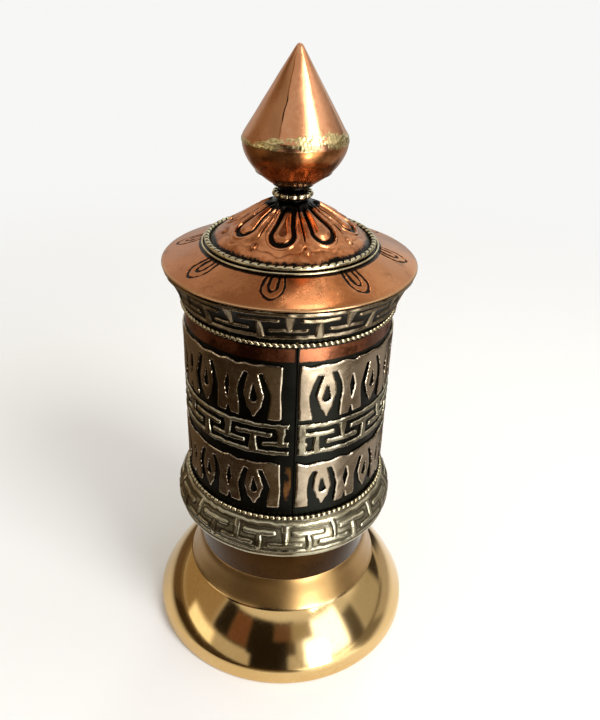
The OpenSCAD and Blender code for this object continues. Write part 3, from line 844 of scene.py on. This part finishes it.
def make_bead_rings():
    for node, count, slant in (("lower_bead_ring", 114, 0.0), ("upper_bead_ring", 118, 1.0)):
        sizes = np.random.default_rng(count).uniform(0.9, 1.0, count)

        def pearls(az, turn, wire):
            place_in = az * count / TURN + 0.22 * slant * np.sin(turn)
            across = (place_in % 1) * 2 - 1
            pearl = np.sqrt(np.clip(1 - across ** 2 * 0.9, 0.08, 1))
            return wire * pearl * sizes[(np.floor(place_in).astype(int)) % count]

        ring(node, pearls, count * 12, 14, dark=(0.35, 0.75), bright=(0.85, 1), inset=0.3 * slant)


def make_flare(node, line_of, free_z, keys, material, height, contrast):
    """The skirt or the cornice: a flared sheet with T keys raised on it."""
    _, low, high = reach(node)
    z = np.linspace(low + 0.05, high - 0.05, 64)
    front = np.stack([line_of(z), z], -1)
    az = azimuths(760)
    mean_r = line_of(z).mean()
    shape = around(mean_r, az[None], z[:, None])
    x = (az[None] * mean_r) + ripple(shape, 3.0, 0.14, 41)
    y = z[:, None] + ripple(shape, 3.4, 0.11, 42)
    depth = keys(x, y, mean_r)
    lift = smooth(-0.12, 0.42, depth)
    push = height * lift + ripple(shape, 8, 0.05, 43)
    outline = 1 - smooth(0.1, 0.3, np.abs(depth + 0.15))
    lip = 0.25 * (1 - smooth(0.5, 1.3, np.abs(z - free_z)))[:, None]
    back = front[::-6] - np.array([0.55, 0])
    pattern = contrast * (1 - smooth(-0.25, 0.2, depth)) + (1 - contrast) * outline
    relief(node, material, front, back, az, push + lip, recess=pattern * (lip < 0.02),
           wear=smooth(0.3, 0.5, depth) * 0.3 + (lip > 0.1) * 0.4)


def make_skirt():
    _, low, high = reach("skirt")

    def line_of(z):
        steps = (low, low + 1.6, low + 3.3, low + 5.3, low + 7.3, high - 1.0, high)
        radii = (29.25, 29.7, 29.9, 29.6, 28.8, 27.6, 26.95)
        return np.interp(z, steps, radii)

    def keys(x, y, mean_r):
        pitch = TURN * mean_r / 14
        return t_keys(x, y, pitch, mean_r * math.radians(-11.2), mean_r * math.radians(2.4),
                      ((41.3, 42.35), (48.3, 49.3)), (43.85, 46.75), 0.3 * pitch, (0.6, 0.78), 0.62)

    make_flare("skirt", line_of, low, keys, SKIRT_METAL, 0.32, 0.42)


def make_cornice():
    _, low, high = reach("cornice")

    def line_of(z):
        return 27.1 + 3.75 * (np.clip(z - low, 0, None) / (high - low)) ** 1.5

    def keys(x, y, mean_r):
        pitch = TURN * mean_r / 13
        return t_keys(x, y, pitch, mean_r * math.radians(-12), mean_r * math.radians(1.8),
                      ((102.0, 103.0), (109.0, 110.2)), (104.6, 107.5), 0.3 * pitch, (0.5, 1.1), 0.5)

    make_flare("cornice", line_of, high, keys, CORNICE_METAL_SHADED, 0.38, 1.0)


def make_core():
    """The parts inside the drum: bottom disc, bushes, core tube and seam strip."""
    bore = reach("spindle")[0] + 0.05
    disc_r, disc_low, disc_high = reach("bottom_disc")
    tube_r, tube_low, tube_high = reach("core_tube")
    bush_r = tube_r - 0.8
    turned("bottom_disc", [(disc_r, disc_low, 0.2), (disc_r, disc_high, 0.2), (bush_r, disc_high, 0.1),
                           (bush_r, disc_low, 0.1)], 192, INNER_COPPER)
    turned("core_tube", [(tube_r, tube_low, 0.1), (tube_r, tube_high, 0.2), (bush_r, tube_high, 0.2),
                         (bush_r, tube_low, 0.1)], 96, INNER_COPPER)
    flange_r, low, high = reach("lower_bush")
    turned("lower_bush", [(flange_r, low, 0.2), (flange_r, disc_low, 0.2), (bush_r, disc_low, 0),
                          (bush_r, high, 0.3), (bore, high, 0.3), (bore, low, 0.3)], 96, BUSH_BRASS)
    flange_r, low, high = reach("upper_bush")
    turned("upper_bush", [(bush_r, low, 0.3), (bush_r, tube_high, 0), (flange_r, tube_high, 0.2),
                          (flange_r, high, 0.2), (bore, high, 0.3), (bore, low, 0.3)], 96, BUSH_BRASS)

    _, low, high = reach("seam_strip")
    az = np.linspace(SEAM - math.radians(7), SEAM + math.radians(7), 16)[None]
    z = np.linspace(low, high, 60)[:, None]
    inside_r = reach("drum_shell")[0] - SHEET
    outer = around(inside_r - 0.02, az, z)
    inner = around(inside_r - 0.45 - 0.05 * np.cos((az - SEAM) * 12), az, z)
    mesh = solid("seam_strip", outer, inner, wrap=False)
    paint(mesh, recess=1)
    place(mesh, "seam_strip", INNER_COPPER)


def make_roll():
    """A long strip of paper wound on the core tube, and the tape round it."""
    r, low, high = reach("mantra_roll")
    core = reach("core_tube")[0]
    columns = 150
    az = azimuths(columns)[None]
    layer_t = 0.62
    radii = np.arange(r - 0.05, core + 0.1, -0.124)[:, None]
    wind = (radii / layer_t + az / TURN) % 1
    groove = 1 - smooth(0.0, 0.3, np.abs(wind - 0.5) - 0.12)
    step = 0.35 * np.sin(radii * 1.7 + 2 * az) * np.sin(radii * 5.1)
    top = around(radii, az, high - 0.5 - 0.35 * groove + 0.4 * step)
    bottom = around(radii[::-4], az, low + 0.05)
    z = np.linspace(low + 0.2, high - 0.5, 40)[:, None]
    side = around(r - 0.02 + 0.04 * np.sin(z * 0.9 + az), az, z)
    points = np.concatenate([bottom, side, top])
    mesh = build("mantra_roll", points.reshape(-1, 3), cells(len(points), columns, True, True))
    # painted shade in the grooves between the paper's turns
    shade = np.concatenate([np.zeros(bottom.shape[:2]), np.zeros(side.shape[:2]), groove])
    paint(mesh, recess=0.8 * shade.ravel())
    place(mesh, "mantra_roll", PAPER)

    r, low, high = reach("roll_tie")
    z = np.linspace(low + 0.1, high - 0.1, 26)[:, None]
    az = azimuths(300)[None]
    lap = smooth(0, 0.06, az - SEAM - 2.0) * (1 - smooth(0.3, 0.32, az - SEAM - 2.0))
    weave = 0.03 * np.cos(z * 9) * np.cos(az * 150)
    outer = around(r - 0.12 + weave + 0.3 * lap - 0.1 * (np.abs(z - (low + high) / 2) > 2.6), az, z)
    inner = around(r - 0.45, az, z)
    place(solid("roll_tie", outer, inner), "roll_tie", TAPE)


def make_drum():
    make_drum_shell()
    make_ornament("lower_ornament", 21)
    make_ornament("upper_ornament", 22)
    make_middle_band()
    make_bead_rings()
    make_skirt()
    make_cornice()
    make_core()
    make_roll()


make_drum()


# ---- lid ----

STEM_R = 1.6
EAVE, SLOPE = 0.45, 0.385  # the roof's upright edge, and its rise for each millimetre inwards


def roof_height(radius):
    """Height of the roof's upper face."""
    r, low, _ = reach("roof")
    return low + EAVE + SLOPE * (r - radius)


def make_roof():
    r, low, _ = reach("roof")
    hole, thick = 18.5, 0.7
    rim = [(r - 0.5, low), (r - 0.1, low + 0.04), (r, low + 0.16), (r, low + EAVE - 0.14),
           (r - 0.12, low + EAVE - 0.01), (r - 0.35, roof_height(r - 0.35))]
    radii = np.concatenate([np.linspace(r - 0.8, 29.2, 8), np.arange(29.0, 21.4, -0.14),
                            np.linspace(21.3, hole, 8)])
    front = np.array(rim + [(q, roof_height(q)) for q in radii])
    back = [(q, roof_height(q) - thick) for q in (hole, 22, 26, 29)] + [(r - 1.2, low + 0.25)]
    # columns crowd round the eight engraved marks
    marks = [math.radians(-7 + 45 * k) for k in range(8)]
    near = np.linspace(-7.5, 7.5, 64, endpoint=False)
    far = np.linspace(7.5, 37.5, 18, endpoint=False)
    az = np.concatenate([m + np.radians(np.concatenate([near, far])) for m in marks])
    radius = front[:, :1]
    hoop = curve([(-1.75, 21.2), (-2.35, 24.2), (-2.1, 26.8), (0, 28.55), (2.0, 26.9), (2.4, 24.4),
                  (1.9, 21.2)], [0.3, 0.36, 0.24, 0.32, 0.17, 0.28, 0.24], 4)
    tongue = curve([(-0.75, 21.2), (-1.0, 24.0), (-0.75, 25.6), (0, 26.2), (0.75, 25.5), (0.95, 24.0),
                    (0.7, 21.2)], [0.36, 0.4, 0.28, 0.36, 0.22, 0.34, 0.3], 4)
    draw = np.random.default_rng(5)
    cut = np.full((len(front), len(az)), -1e3)
    for m in marks:
        lean, grow = draw.uniform(-0.05, 0.05), draw.uniform(0.94, 1.05)
        off = fold(az[None], TURN, m)
        x = radius * np.sin(off) / grow + lean * (radius - 25)
        y = radius * np.cos(off)
        here = np.maximum(stroke(x, y, *hoop), stroke(x, y, *tongue))
        cut = np.maximum(cut, np.where(np.abs(off) < 0.2, here, -1e3))
    shape = around(radius, az[None], front[:, 1:])
    cut = cut + ripple(shape, 2.2, 0.09, 52)
    push = -0.2 * smooth(-0.12, 0.16, cut) + ripple(shape, 9, 0.06, 51) * smooth(0.2, 2, r - radius)
    foot = smooth(22.6, 21.9, radius) * 0.8
    relief("roof", ROOF_COPPER, front, back, az, push, recess=np.maximum(smooth(-0.12, 0.08, cut), foot),
           wear=1 - smooth(0.1, 0.6, r - radius))


def make_crown():
    foot_r, foot_z, top_z = reach("crown")
    foot_z += 0.25
    top_r, thick, petals, first = 3.7, 0.8, 8, math.radians(-8)

    def height(radius):
        """A low dome that sweeps up to the neck."""
        t = (foot_r - radius) / (foot_r - top_r)
        return foot_z + (top_z - foot_z) * (1.32 * t - 0.46 * t ** 2 + 0.14 * t ** 3)

    radii = np.concatenate([np.arange(foot_r, top_r, -0.165), [top_r]])
    front = np.concatenate([np.stack([radii, height(radii)], -1), [(2.6, top_z), (STEM_R, top_z)]])
    back = ([(STEM_R, top_z - thick)] + [(q - 0.2, height(q) - thick) for q in (4, 6, 9, 12, 15, 17.8)]
            + [(foot_r - 0.5, foot_z + 0.1)])
    az = azimuths(800, 0.0)
    radius = front[:, :1]
    step = TURN / petals
    off = fold(az[None], step, first)
    which = np.floor((az[None] - first + step / 2) / step) % petals
    dome = around(radius, az[None], front[:, 1:])
    wobble = ripple(dome, 6, 0.16, 61)
    x = radius * np.sin(off) + wobble
    y = radius * np.cos(off) + 0.25 * np.sin(which * 2.1)
    petal = stroke(x, y, [(0, 6.4), (0, 9.6), (0, 12.35)], (0.55, 1.15, 2.0))
    groove = smooth(-1.2, -0.95, petal) * (1 - smooth(-0.25, 0, petal))
    rim = smooth(-1.95, -1.6, petal) * (1 - smooth(-1.35, -1.15, petal))
    # across and along the line between two petals
    bx, by = radius * np.sin(np.abs(off) - step / 2), radius * np.cos(np.abs(off) - step / 2)
    gap = np.abs(bx)
    ribs = 1 - smooth(0.12, 0.3, np.abs(gap - 0.42))
    ribs = ribs * (1 - smooth(13.0, 14.5, radius)) * smooth(5, 6.5, radius)
    vein = (1 - smooth(0.08, 0.26, gap)) * (1 - smooth(13.6, 14.6, radius)) * smooth(5, 7, radius)
    bud = 0.85 - np.hypot(bx, (by - 16.1) * 0.9)
    bud_line = 1 - smooth(0.08, 0.3, np.abs(bud))
    scallop = curve([(-6.0, 14.2), (-4.5, 15.9), (-2.2, 16.4), (0, 17.5), (2.2, 16.4), (4.5, 15.9),
                     (6.0, 14.2)], [0.1] * 7, 3)
    edge = smooth(-0.4, 0.08, stroke(x, y, *scallop))
    push = (0.34 * smooth(-0.05, 1.1, petal) - 0.42 * groove + 0.24 * rim + 0.16 * ribs - 0.2 * vein
            + 0.2 * smooth(-0.1, 0.5, bud) - 0.1 * bud_line - 0.1 * edge)
    push = push * smooth(4.0, 6.0, radius) * smooth(0.3, 1.6, foot_r - radius)
    push = push + ripple(dome, 4.5, 0.05, 62) * smooth(3.9, 6, radius)
    band = smooth(17.0, 19.6, radius + 1.8 * wobble)
    neck = 1 - smooth(5.2, 7.8, radius + 1.5 * wobble)
    recess = np.max([groove, 0.7 * vein, 0.4 * bud_line, 0.3 * edge, 0.8 * band, 0.95 * neck], axis=0)
    relief("crown", CROWN_COPPER, front, back, az, push, recess=recess,
           wear=np.clip(0.5 * smooth(0.5, 1.5, petal) + 0.5 * rim, 0, 1))


def make_rope_rings():
    lays = 32.5

    def twisted(az, turn, wire):
        notch = 1 - np.abs(np.cos(turn * 0.5 - lays * az)) ** 0.7
        above = smooth(-0.1, 0.6, np.sin(turn) - 0.35 * np.cos(turn))
        return wire * (1 - 0.3 * notch * above)

    def plain(az, turn, wire):
        return wire * (0.94 + 0.06 * np.sin(7 * az) * np.sin(19 * az))

    ring("roof_rope_ring", twisted, 1170, 16, dark=(0.78, 0.94), bright=(0.93, 1), shine=0.7)
    ring("roof_wire_ring", plain, 360, 12, dark=(0, 0.5), bright=(0, 0.5), shine=0.4)


def make_neck_parts():
    r, low, high = reach("neck_spacer")
    turned("neck_spacer", [(3.75, low, 0.3), (3.25, low + 0.6, 0.5), (3.3, high - 1.2, 0.5),
                           (r, high - 0.2, 0.3), (r - 0.3, high, 0.1), (STEM_R, high, 0), (STEM_R, low, 0)],
           96, BLACK_METAL)
    count = 13

    def gadroons(az, turn, wire):
        across = ((az * count / TURN + 0.4) % 1) * 2 - 1
        return wire * np.sqrt(np.clip(1 - 0.62 * across ** 2, 0.2, 1))

    ring("neck_bead_ring", gadroons, count * 16, 18, dark=(0.66, 0.82), bright=(0.9, 1))


def cone_radius(z):
    """Outer radius of the cone above its seam: a short upright foot, then a straight taper."""
    seam_r, _, seam_z = reach("finial_bowl")
    apex = reach("finial_cone")[2] + 0.9
    foot = seam_r - 0.3 * smooth(seam_z, seam_z + 1.6, z)
    taper = (seam_r - 0.28) * (apex - z) / (apex - seam_z - 1.35)
    return np.minimum(foot, taper)


def facets(az):
    """The hammered cone is very slightly many-sided."""
    return 0.03 * np.cos(9 * az + 1.0)


def make_bowl():
    r, low, high = reach("finial_bowl")
    t = np.linspace(0, 1, 34) ** 1.3
    start_r = 4.7
    swell = np.stack([start_r + (r - start_r) * np.sin(t * math.pi / 2) ** 0.8,
                      low + 0.4 + (high - low - 0.4) * t], -1)
    front = np.concatenate([[(STEM_R, low), (4.2, low), (4.8, low + 0.12)], swell])
    back = [(r - 0.8, high), (r - 1.4, high - 3), (9, low + 3.2), (4.6, low + 0.9), (STEM_R, low + 0.8)]
    az = azimuths(256)
    shape = around(front[:, :1], az[None], front[:, 1:])
    push = ripple(shape, 7, 0.07, 71) * smooth(4.9, 7, front[:, :1])
    relief("finial_bowl", BOWL_COPPER, front, back, az, push,
           recess=0.75 * (1 - smooth(4.9, 7.2, front[:, :1])), wear=0)


def make_cone():
    seam_r, _, seam_z = reach("finial_bowl")
    tip_z = reach("finial_cone")[2]
    z = np.concatenate([np.linspace(seam_z, seam_z + 1.6, 10), np.linspace(seam_z + 1.9, tip_z - 0.6, 60),
                        [tip_z - 0.36, tip_z - 0.16, tip_z - 0.04, tip_z]])
    r = cone_radius(z)
    r[-4:] = (0.72, 0.52, 0.26, 0.02)
    front = np.stack([r, z], -1)
    back = [(0.02, tip_z - 2.4), (4, seam_z + 12), (8, seam_z + 6), (seam_r - 1.1, seam_z + 1.2),
            (seam_r - 0.8, seam_z)]
    r, z, az = r[:, None], z[:, None], azimuths(320)[None]
    lap = math.radians(-17)
    off = fold(az, TURN, lap)
    past = off * r                     # millimetres right of the lap seam
    shape = around(r, az, z)
    wander = past + ripple(shape, 3, 0.12, 72) * smooth(0, 2, tip_z - z)
    strip = smooth(-0.25, 0.0, wander) - smooth(0.0, 0.5, off - 1.2)
    push = facets(az) * smooth(0.5, 6, r) + 0.1 * strip * smooth(0.4, 3, r)
    push = push + ripple(shape, 9, 0.04, 73) * smooth(0.5, 5, r)
    crack = (1 - smooth(0.06, 0.26, np.abs(wander + 0.12))) * smooth(seam_z + 4.5, seam_z + 6, z)
    crack = crack * (1 - 0.6 * smooth(tip_z - 11, tip_z - 9, z) - 0.4 * smooth(tip_z - 5, tip_z - 4, z))
    # painted shade: a darker band just left of the lap seam, carried by the tint layer
    shade = smooth(-4.2, -1.0, wander) * (1 - smooth(-0.3, 0, wander)) * smooth(0.6, 4, r)
    relief("finial_cone", CONE_COPPER, front, back, az[0], push, recess=0.8 * crack, tint=0.75 * shade,
           wear=0.5 * smooth(tip_z - 2.5, tip_z, z))


def make_braze():
    """Braze metal that ran out of the finial's seam, with a ragged upper edge."""
    seam_r, _, seam_z = reach("finial_bowl")
    az = azimuths(420)
    rim = around(seam_r, az, seam_z)
    ahead = fold(az, TURN, math.radians(35))
    run = 1.3 + 2.9 * np.exp(-(ahead / 0.75) ** 2) + 0.8 * np.cos(3 * az + 1)
    top = seam_z + np.clip(run + ripple(rim, 7, 0.3, 74) + ripple(rim, 1.8, 0.22, 75), 0.5, 4.8)
    low = seam_z - 0.12
    t = np.linspace(0, 1, 22)[:, None]
    z = low + (top - low) * t
    skin = np.where(z > seam_z, cone_radius(z), seam_r)
    thick = 0.1 * np.clip(np.sin(np.pi * t), 0, 1) ** 0.5 + 0.02
    outer = around(skin + facets(az) * (z > seam_z + 1.5) + thick, az, z)
    grit = ripple(outer, 1.1, 0.025, 77)[..., None] * np.array([1, 1, 0])
    outer = outer + grit * np.sign(outer)
    inner = around(skin - 0.12, az, z)
    mesh = solid("braze_band", outer, inner)
    paint(mesh, wear=0.15)
    place(mesh, "braze_band", BRAZE)


def make_lid_fixings():
    r, low, _ = reach("lid_collar")
    under, inner = roof_height(r) - 0.72, r - SHEET
    turned("lid_collar", [(r - 0.12, low, 0.2), (r, low + 0.9, 0.3), (r, under, 0), (inner, under + 0.23, 0),
                          (inner, low, 0.2)], 256, BUSH_BRASS)
    make_washer("stem_washer", STEM_R)
    make_nut("stem_nut")
    head_r, low, high = reach("finial_stem")
    turned("finial_stem", [(0.02, low, 0), (STEM_R, low, 0.3), (STEM_R, high - 1, 0), (head_r, high - 1, 0.2),
                           (head_r, high, 0.3), (0.02, high, 0)], 64, STEEL)


def make_lid():
    make_roof()
    make_crown()
    make_rope_rings()
    make_neck_parts()
    make_bowl()
    make_cone()
    make_braze()
    make_lid_fixings()


make_lid()

bpy.context.scene.view_settings.view_transform = "Standard"
